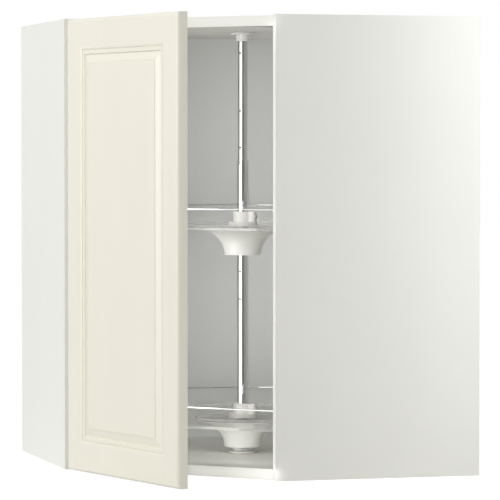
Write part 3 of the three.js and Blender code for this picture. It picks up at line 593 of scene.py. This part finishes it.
def headed_pin(node):
    """A pin with a flat head at each end, where its CAD node is."""
    low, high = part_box(node)
    at = middle_of(low, high)
    shank, head, rim = 2 * MM, 3 * MM, 2.6 * MM
    bottom, top, chamfer, thickness = low[2], high[2], 0.3 * MM, 0.8 * MM
    pin = turned([
        (rim, bottom), (head, bottom + chamfer), (head, bottom + thickness),
        (shank, bottom + thickness), (shank, top - thickness), (head, top - thickness),
        (head, top - chamfer), (rim, top),
    ], 32)
    return placed(pin, Matrix.Translation((at.x, at.y, 0)))


for side, height in zip(("lower", "upper"), HINGE_HEIGHTS):
    cup = placed(pressed_cup(), door_place @ Matrix.Translation((CUP_MIDDLE, 0, height)))
    dressed(
        cup, f"hinge_cup_piece_{side}", "door", [f"hinge_cup_{side}"], nickel,
        edge=0.2 * MM)
    node = f"cup_pin_{side}"
    dressed(plain_pin(node), f"cup_pin_piece_{side}", "door", [node], nickel, edge=0)
    dressed(
        merged_copy(f"hinge_link_{side}"), f"swan_neck_{side}", "hinge_links",
        [f"hinge_link_{side}"], nickel, edge=0.5 * MM, rounds=3)
    for part in ("mounting_plate", "hinge_arm"):
        dressed(
            merged_copy(f"{part}_{side}"), f"{part}_piece_{side}", "cabinet", [f"{part}_{side}"],
            nickel, edge=0.4 * MM)
    node = f"arm_pin_{side}"
    dressed(headed_pin(node), f"arm_pin_piece_{side}", "cabinet", [node], nickel, edge=0)
    for number in (1, 2):
        node = f"plate_screw_{side}_{number}"
        low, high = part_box(node)
        head = high[0] - SCREW_HEAD
        at = middle_of(low, high)
        screw = placed(along_x(cross_screw(head - low[0])), Matrix.Translation((head, at.y, at.z)))
        dressed(screw, f"plate_screw_piece_{side}_{number}", "cabinet", [node], zinc, edge=0)

for end in ("bottom", "top"):
    dressed(
        merged_copy(f"door_bumper_{end}"), f"soft_stop_{end}", "door", [f"door_bumper_{end}"],
        soft_stop, edge=0.6 * MM, rounds=3)


# ---------- pole and bearings ----------

def tube(radius, low, high):
    """A tube with the pole's wall between two heights."""
    inner = radius - POLE_WALL
    return turned([(inner, low), (radius, low), (radius, high), (inner, high), (inner, low)], 64)


def pole_hole(height):
    """What cuts a height hole in the front of the pole."""
    return placed(along_y(rod(POLE_HOLE, *POLE_CUT)), Matrix.Translation((0, 0, height)))


def lower_pole():
    """The outer tube, with its height holes and the hook-shaped slot of its lock."""
    pole = tube(POLE_RADIUS, POLE_FOOT, LOWER_TOP)
    slot_top, slot_drop, slot_width = LOWER_TOP - 1.6 * MM, 8 * MM, 1.8 * MM
    left, down_right, across_right = -2.2 * MM, -0.4 * MM, 2.0 * MM
    front, inside = POLE_CUT
    cut(pole, block((left, front, slot_top - slot_drop), (down_right, inside, slot_top)))
    cut(pole, block((left, front, slot_top - slot_width), (across_right, inside, slot_top)))
    for height in (268, 318):
        cut(pole, pole_hole(POLE_FOOT + height * MM))
    return placed(pole, carousel_place)


def upper_pole():
    """The inner tube, with its height holes."""
    pole = tube(UPPER_RADIUS, LOWER_TOP - POLE_OVERLAP, UPPER_TOP)
    for depth in (207, 140.5, 36.2):
        cut(pole, pole_hole(UPPER_TOP - depth * MM))
    return placed(pole, carousel_place)


dressed(
    lower_pole(), "pole_outer_tube", "carousel", ["pole_lower_tube"], chrome, edge=0.25 * MM)
dressed(
    upper_pole(), "pole_inner_tube", "carousel", ["pole_upper_tube"], chrome, edge=0.25 * MM)
dressed(merged_copy("lock_pin"), "lock_pin_piece", "carousel", ["lock_pin"], nickel, edge=0)

bearing_bottom = 21 * MM
bearing_top = bearing_bottom + 7.2 * MM
ring_outer, ring_inner = 22.4 * MM, 9 * MM
dressed(
    turned([
        (ring_inner, bearing_bottom), (ring_outer - 1 * MM, bearing_bottom),
        (ring_outer, bearing_bottom + 1 * MM), (ring_outer, bearing_top - 1.6 * MM),
        (ring_outer - 1.6 * MM, bearing_top), (ring_inner, bearing_top), (ring_inner, bearing_bottom),
    ]),
    "bearing_cover_ring", "carousel", ["bearing_ring"], chrome, edge=0.3 * MM)

disc_bottom = BOARD + SEAT_GAP
disc_top = disc_bottom + 2.4 * MM
disc_radius = 24.7 * MM
spindle = 8.7 * MM
dressed(
    turned([
        (disc_radius, disc_bottom), (disc_radius, disc_top - 0.8 * MM),
        (disc_radius - 0.8 * MM, disc_top), (spindle, disc_top), (spindle, POLE_FOOT + 20 * MM),
        (spindle - 2 * MM, POLE_FOOT + 22 * MM),
    ]),
    "base_bearing_disc", "cabinet", ["base_disc"], white_plastic, edge=0.2 * MM)

flange_top = 778.7 * MM
flange_foot = flange_top - 3.5 * MM
collar_foot = flange_top - 15.5 * MM
flange_radius, collar_radius, bearing_bore = 22 * MM, 12 * MM, 8.9 * MM
chamfer = 0.8 * MM
dressed(
    turned([
        (bearing_bore, collar_foot), (collar_radius - chamfer, collar_foot),
        (collar_radius, collar_foot + chamfer), (collar_radius, flange_foot),
        (flange_radius - chamfer, flange_foot), (flange_radius, flange_foot + chamfer),
        (flange_radius, flange_top), (bearing_bore, flange_top), (bearing_bore, collar_foot),
    ]),
    "ceiling_bearing", "cabinet", ["top_bearing"], white_plastic, edge=0.3 * MM)


# ---------- shelves ----------

def corner_middle():
    """The middle of the round at the tray's right front corner."""
    y = -(TRAY_FLAT - TRAY_CORNER)
    return math.sqrt((TRAY_RADIUS - TRAY_CORNER) ** 2 - y ** 2), y


def d_slab(inset, low, high):
    """The tray's plan as a slab: a round back, a straight front and two rounded corners."""
    corner_x, corner_y = corner_middle()
    touch_y = corner_y * (TRAY_RADIUS - inset) / (TRAY_RADIUS - TRAY_CORNER)
    disc = rod(TRAY_RADIUS - inset, low, high, sides=240)
    edit(disc)
    bpy.ops.mesh.bisect(
        plane_co=(0, touch_y, 0), plane_no=(0, -1, 0), clear_outer=True, use_fill=True)
    leave_edit()
    rounds = [
        rod(TRAY_CORNER - inset, low, high, at=(side * corner_x, corner_y), sides=64)
        for side in (-1, 1)
    ]
    slab = joined([disc, *rounds])
    edit(slab)
    bpy.ops.mesh.convex_hull()
    bpy.ops.mesh.select_all(action="SELECT")
    bpy.ops.mesh.dissolve_limited(angle_limit=math.radians(0.5))
    leave_edit()
    return slab


def wire_post_places():
    """Where the wire's posts stand, on the wire's own line."""
    corner_x, corner_y = corner_middle()
    places = []
    for degrees in WIRE_POST_ANGLES:
        facing = math.radians(90 - degrees)
        on_arc = math.sin(facing) * (TRAY_RADIUS - TRAY_CORNER) >= corner_y
        side = 0 if on_arc else math.copysign(1, degrees)
        radius = (TRAY_RADIUS if on_arc else TRAY_CORNER) - WIRE_INSET
        x = side * corner_x + radius * math.cos(facing)
        y = (0 if on_arc else corner_y) + radius * math.sin(facing)
        places.append((x, y))
    return places


def d_tray():
    """A clear tray with a low rim, a ring round its middle and sockets for the wire."""
    rim_height, past = 1.5 * MM, 1 * MM
    rim_top, sunk = TRAY_FLOOR + rim_height, TRAY_FLOOR - past
    slab = d_slab(0, TRAY_BOTTOM, rim_top)
    edit(slab)
    pick(lambda face: face.normal.z > 0.999)
    bpy.ops.mesh.inset(thickness=3.4 * MM, depth=0)
    bpy.ops.mesh.inset(thickness=0.6 * MM, depth=-rim_height)
    leave_edit()
    inner, outer, ring_top = 86 * MM, 88 * MM, TRAY_FLOOR + 1.3 * MM
    ring = turned([(inner, sunk), (outer, sunk), (outer, ring_top), (inner, ring_top), (inner, sunk)])
    combined(slab, ring, "UNION")
    places = wire_post_places()
    socket_radius, socket_top = 3.6 * MM, TRAY_FLOOR + 9 * MM
    sockets = joined([rod(socket_radius, sunk, socket_top, at, sides=24) for at in places])
    combined(slab, sockets, "UNION")
    hole_radius, hole_foot, hole_end = 1.8 * MM, TRAY_FLOOR + 0.3 * MM, TRAY_FLOOR + 12 * MM
    holes = joined([rod(hole_radius, hole_foot, hole_end, at, sides=16) for at in places])
    cut(slab, holes, rod(HUB_BORE, TRAY_BOTTOM - past, rim_top + past, sides=64))
    return placed(slab, carousel_place)


def wire_rail():
    """A bent wire over the tray's edge, on its posts."""
    slab = d_slab(WIRE_INSET, WIRE_HEIGHT - 1 * MM, WIRE_HEIGHT)
    edit(slab)
    pick(lambda face: face.normal.z < 0.999)
    bpy.ops.mesh.delete(type="FACE")
    bpy.ops.mesh.select_all(action="SELECT")
    bpy.ops.mesh.delete(type="ONLY_FACE")
    leave_edit()
    only(slab)
    bpy.ops.object.convert(target="CURVE")
    slab.data.bevel_depth = WIRE_RADIUS
    slab.data.bevel_resolution = 3
    bpy.ops.object.convert(target="MESH")
    rail = bpy.context.object
    post_foot = TRAY_FLOOR + 0.6 * MM
    posts = joined([
        rod(WIRE_RADIUS, post_foot, WIRE_HEIGHT, at, sides=16) for at in wire_post_places()])
    combined(rail, posts, "UNION")
    return placed(rail, carousel_place)


def trumpet_hub():
    """The cone under a tray: a thin trumpet round a sleeve, open above and closed by the tray."""
    foot, rim, height, wall, lip, steps = 33.4, 87, 49.2, 2.5, 1, 20
    base = POLE_FOOT

    def curve(offset, start_height, end_height):
        """Places on a quarter ellipse between two heights in millimetres."""
        across = rim - foot + offset
        up = height - lip + offset
        start, end = math.asin(start_height / up), math.asin(end_height / up)
        angles = [start + (end - start) * step / steps for step in range(steps + 1)]
        return [((rim - across * math.cos(a)) * MM, base + up * math.sin(a) * MM) for a in angles]

    sleeve = HUB_BORE + 3 * MM
    profile = [
        (HUB_BORE, base), *curve(0, 0, height - lip), (rim * MM, base + height * MM),
        *reversed(curve(wall, wall, height)), (sleeve, base + wall * MM), (sleeve, base + height * MM),
        (HUB_BORE, base + height * MM), (HUB_BORE, base),
    ]
    return turned(profile, 128)


def shelf_collar():
    """The flanged sleeve on a tray, with the lug that holds its screw."""
    low = TRAY_FLOOR + SEAT_GAP
    flange = low + 7.5 * MM
    high = flange + 18.2 * MM
    rim, radius, chamfer, past = 26.4 * MM, 17.2 * MM, 1.5 * MM, 1 * MM
    sleeve = turned([
        (HUB_BORE, low), (rim, low), (rim, flange - chamfer), (rim - chamfer, flange),
        (radius, flange), (radius, high), (HUB_BORE, high), (HUB_BORE, low),
    ], 64)
    lug_start, lug_end, lug_half = 11.5 * MM, 27 * MM, 7 * MM
    lug = block((lug_start, -lug_half, flange - past), (lug_end, lug_half, high))
    edit(lug, "EDGE")
    pick(lambda edge: all(corner.co.x > lug_end - past for corner in edge.verts)
         and abs(edge.verts[0].co.z - edge.verts[1].co.z) > past)
    bpy.ops.mesh.bevel(offset=4 * MM, segments=5, affect="EDGES")
    leave_edit()
    combined(sleeve, lug, "UNION")
    screw_height = flange + 9.1 * MM
    hole = placed(along_x(rod(2.3 * MM, 5 * MM, 30 * MM)), Matrix.Translation((0, 0, screw_height)))
    cut(sleeve, rod(HUB_BORE, low - past, high + past, sides=64), hole)
    return placed(sleeve, carousel_place)


up_one_shelf = Matrix.Translation((0, 0, SHELF_SPACING))
shelf_pieces = (
    (trumpet_hub, "trumpet_hub", "hub_cone", white_plastic, "white_plastic", 0.3),
    (d_tray, "clear_tray", "tray", clear_plastic, "clear_plastic", 0.25),
    (wire_rail, "wire_rail", "wire_rim", chrome, "chrome", 0),
    (shelf_collar, "shelf_collar", "hub_collar", white_plastic, "white_plastic", 0.5),
)
for model, name, node, material, slot, edge in shelf_pieces:
    lower = model()
    upper = twin(lower, up_one_shelf)
    dressed(lower, name + "_lower", "carousel", [node + "_lower"], material, edge=edge * MM)
    dressed(upper, name + "_upper", "carousel", [node + "_upper"], material, edge=edge * MM)


# ---------- fasteners ----------

def slotted_cam(node, bolt):
    """A cam disc with its cross recess in the board's hidden face, cleared for the bolt it pulls on."""
    low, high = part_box(node)
    at = middle_of(low, high)
    radius = (high[0] - low[0]) / 2
    disc = rod(radius, low[2], high[2], sides=48)
    face = high[2] if "top" in node else low[2]
    depth = 2 * MM
    cut(disc, *cross_recess(4.5 * MM, 0.9 * MM, face - depth, face + depth))
    placed(disc, Matrix.Translation((at.x, at.y, 0)))
    room = Vector((SEAT_GAP, SEAT_GAP, SEAT_GAP))
    bolt_low, bolt_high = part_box(bolt)
    return cut(disc, block(Vector(bolt_low) - room, Vector(bolt_high) + room))


for end in ("top", "bottom"):
    for side in ("left", "right"):
        for number in (1, 2):
            place = f"{end}_{side}_{number}"
            cam = slotted_cam(f"cam_{place}", f"bolt_{place}")
            dressed(
                cam, f"cam_disc_{place}", "cabinet", [f"cam_{place}"], zinc, edge=0.3 * MM)

collar_screw_reach = 27.3 * MM     # from the pole's axis to the seat of its head
collar_screw_length = 17.7 * MM
for side in ("lower", "upper"):
    node = f"hub_screw_{side}"
    low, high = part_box(node)
    at = Matrix.Translation((collar_screw_reach, 0, middle_of(low, high).z))
    screw = placed(along_x(cross_screw(collar_screw_length)), carousel_place @ at)
    dressed(screw, f"collar_screw_{side}", "carousel", [node], nickel, edge=0)

for node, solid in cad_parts.items():
    if node.startswith("bolt"):
        solid.data.materials.clear()
        solid.data.materials.append(nickel)


# ---------- room, light and camera ----------

FLOOR_HEIGHT = -1.5 * MM           # the side panels' lower ends
FLOOR_LIFT = 0.8                   # light of its own that the floor shows, 1 being white
WORLD_LIGHT = 0.35                 # strength of the light from all round


def pale_floor():
    """A floor that looks white and keeps the cabinet's shadow."""
    bpy.ops.mesh.primitive_plane_add(size=30, location=(0, 0, FLOOR_HEIGHT))
    floor = bpy.context.object
    floor.name = "studio_floor"
    material = bpy.data.materials.new("studio floor")
    tree = Tree(material)
    lift = tree.add("ShaderNodeEmission", None, {"Strength": tree.seen_directly() * FLOOR_LIFT})
    paint = tree.add("ShaderNodeBsdfDiffuse", None, {"Color": shade(203, 203, 201)})
    tree.surface(tree.add("ShaderNodeAddShader", None, {0: paint, 1: lift}))
    floor.data.materials.append(material)


def studio_world():
    """Soft light from all round, and white where the camera, metal or clear plastic sees it."""
    world = bpy.data.worlds.new("studio")
    bpy.context.scene.world = world
    tree = Tree(world)
    strength = tree.seen_directly() * (1 - WORLD_LIGHT) + WORLD_LIGHT
    light = tree.add("ShaderNodeBackground", None, {"Color": shade(255, 255, 255), "Strength": strength})
    tree.add("ShaderNodeOutputWorld", None, {"Surface": light})


def softbox(name, place, aim, width, height, power, spread=180, in_gloss=True, on_matt=True):
    """An area light that points at a place, for gloss, matt surfaces or both. No camera sees it."""
    lamp = bpy.data.lights.new(name, "AREA")
    lamp.shape = "RECTANGLE"
    lamp.size = width
    lamp.size_y = height
    lamp.energy = power
    lamp.spread = math.radians(spread)
    holder = bpy.data.objects.new(name, lamp)
    holder.location = place
    holder.rotation_euler = (Vector(aim) - Vector(place)).to_track_quat("-Z", "Y").to_euler()
    holder.visible_camera = False
    holder.visible_glossy = in_gloss
    holder.visible_diffuse = on_matt
    holder.visible_transmission = on_matt
    bpy.context.scene.collection.objects.link(holder)


def dark_backdrop():
    """The dark end of the studio, before the cabinet. Only metal and gloss show it."""
    place, width, height = (-0.34, -1.16, 0.5), 0.4, 1
    heading, upright = math.radians(-16), math.radians(90)
    bpy.ops.mesh.primitive_plane_add(size=1)
    backdrop = bpy.context.object
    backdrop.name = "dark_backdrop"
    placed(
        backdrop, Matrix.Translation(place) @ Matrix.Rotation(heading, 4, "Z")
        @ Matrix.Rotation(upright, 4, "X") @ Matrix.Diagonal((width, height, 1, 1)))
    material = bpy.data.materials.new("black cloth")
    tree = Tree(material)
    tree.surface(tree.add("ShaderNodeBsdfDiffuse", None, {"Color": shade(30, 30, 30)}))
    backdrop.data.materials.append(material)
    backdrop.visible_camera = False
    backdrop.visible_diffuse = False
    backdrop.visible_transmission = False
    backdrop.visible_shadow = False


pale_floor()
dark_backdrop()
studio_world()

# Each lamp: its name, place and aim, its width, height and watts, and the spread in degrees.
middle = (0, 0, 0.4)
softbox("left_softbox", (-4.0, 0.6, 1.2), middle, 2.0, 2.4, 52)
softbox("key_softbox", (-2.56, -3.05, 3.74), middle, 1.5, 1.5, 91)
softbox("front_softbox", (-1.5, -5.0, 1.0), middle, 1.5, 1.5, 13)
softbox("right_strip", (0.45, -0.7, 0.5), (0.33, -0.339, 0.4), 0.15, 1.4, 1.45)

# Small lamps in the opening, behind the closed door's front face. They light matt surfaces alone.
for lamp in (
    ("wall_light", (-0.24, -0.12, 0.45), (0.24, 0.33, 0.47), 0.1, 0.62, 0.24, 56),
    ("opening_light", (-0.075, -0.245, 0.4), (0.22, 0.33, 0.42), 0.16, 0.72, 0.3, 140),
    ("pole_light", (-0.2, -0.14, 0.4), (0, 0, 0.4), 0.2, 0.75, 0.1, 180),
    ("shelf_fill", (-0.12, -0.233, 0.042), (0, -0.113, 0.052), 0.2, 0.03, 0.038, 70),
    ("wall_foot_light", (-0.245, -0.108, 0.046), (0.03, 0.31, 0.03), 0.12, 0.03, 0.05, 70),
    ("edge_light", (-0.0558, -0.3174, 0.4), (-0.037, -0.33, 0.4), 0.008, 0.76, 0.043, 130),
    ("sill_light", (-0.104, -0.279, 0.0105), (-0.091, -0.266, 0.0105), 0.2, 0.017, 0.0115, 180),
    ("lintel_light", (-0.104, -0.279, 0.785), (-0.091, -0.266, 0.785), 0.2, 0.02, 0.004, 180),
):
    softbox(*lamp, in_gloss=False)

# Lamps that metal and gloss alone show: the pole's white stripe, its paler right side, and the
# white line of the wires.
softbox("pole_stripe", (-0.2075, -0.0835, 0.4), (0, 0, 0.4), 0.28, 0.74, 1.16, on_matt=False)
softbox("pole_right", (0.16, -0.1, 0.4), (0, 0, 0.4), 0.3, 0.74, 0.09, on_matt=False)
for shelf, height in (("lower", WIRE_HEIGHT), ("upper", WIRE_HEIGHT + SHELF_SPACING)):
    softbox(
        f"wire_line_{shelf}", (-0.1077, -0.2067, height), (0, -0.099, height), 0.26, 15 * MM, 0.011,
        on_matt=False)


def photo_camera():
    """A long lens at the photograph's viewing angle."""
    camera = bpy.data.cameras.new("camera")
    camera.sensor_width = 36
    camera.lens = 230.75
    camera.clip_end = 100
    holder = bpy.data.objects.new("camera", camera)
    holder.location = (-1.5845, -5.5917, 0.5628)
    heading, pitch = math.radians(15.95), math.radians(-1.75)
    look = Vector((
        math.sin(heading) * math.cos(pitch), math.cos(heading) * math.cos(pitch), math.sin(pitch)))
    holder.rotation_euler = look.to_track_quat("-Z", "Y").to_euler()
    bpy.context.scene.collection.objects.link(holder)
    bpy.context.scene.camera = holder


photo_camera()
bpy.context.scene.view_settings.view_transform = "Standard"
